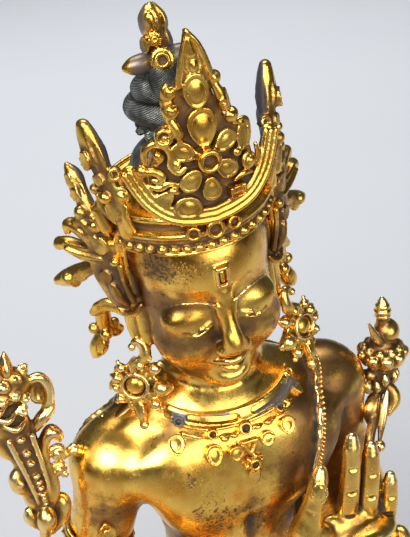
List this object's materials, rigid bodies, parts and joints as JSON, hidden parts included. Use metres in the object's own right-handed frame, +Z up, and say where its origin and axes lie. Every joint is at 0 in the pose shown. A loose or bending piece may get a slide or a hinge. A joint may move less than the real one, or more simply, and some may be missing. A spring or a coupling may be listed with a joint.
{
  "type": "seated tara figure",
  "caption": "Crowned seated figure, legs crossed, one hand raised and one open on the knee, a lotus spray beside each shoulder, on an oval double lotus base.",
  "frame": {"origin": "middle of the lotus base's flat underside", "axes": "+Z up, the figure faces -Y, +X towards the figure's own left hand"},
  "size_m": [0.184, 0.124, 0.276],
  "materials": {
    "gilt_figure": "worn polished gilding with brown and black patina in the recesses and blue-black hair",
    "gilt_base": "worn satin gilding with brown patina between the petals"
  },
  "bodies": {
    "root": {"figure": "gilt_figure", "lotus_base": "gilt_base"}
  },
  "joints": []
}
